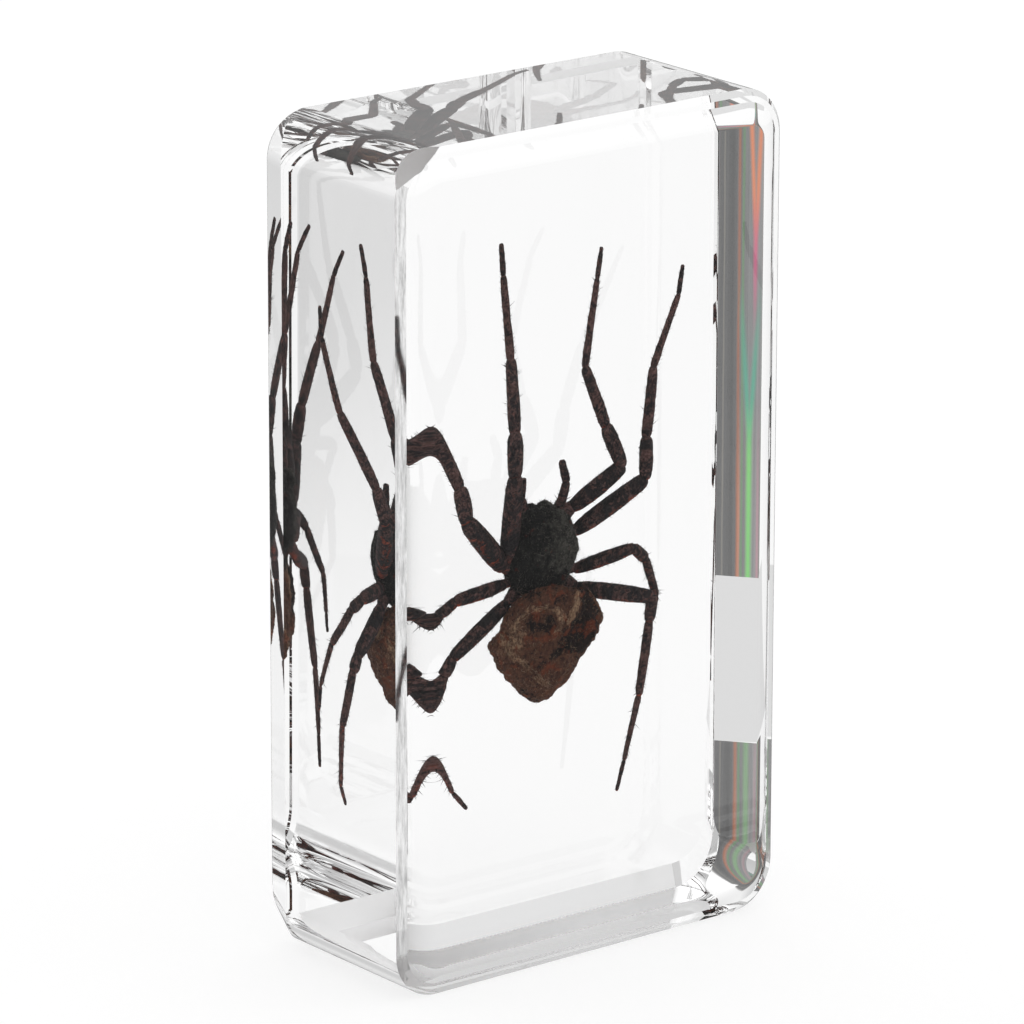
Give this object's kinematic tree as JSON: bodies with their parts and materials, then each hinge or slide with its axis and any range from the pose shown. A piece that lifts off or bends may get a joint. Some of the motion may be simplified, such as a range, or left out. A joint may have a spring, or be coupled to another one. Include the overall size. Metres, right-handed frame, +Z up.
{
  "type": "spider in resin block",
  "caption": "Dried spider with spread legs cast in an upright clear resin block with rounded outline corners and a softly rounded front rim.",
  "frame": {"origin": "middle of the flat base, the narrow end that the block stands on", "axes": "+Z up along the block's longest side, front face toward -Y, +X to the right seen from the front"},
  "size_m": [0.041, 0.0194, 0.073],
  "materials": {
    "clear_resin": "polished clear cast resin",
    "dried_spider": null
  },
  "bodies": {
    "root": {"resin_front_half": "clear_resin", "resin_back_half": "clear_resin", "spider": "dried_spider"}
  },
  "joints": []
}
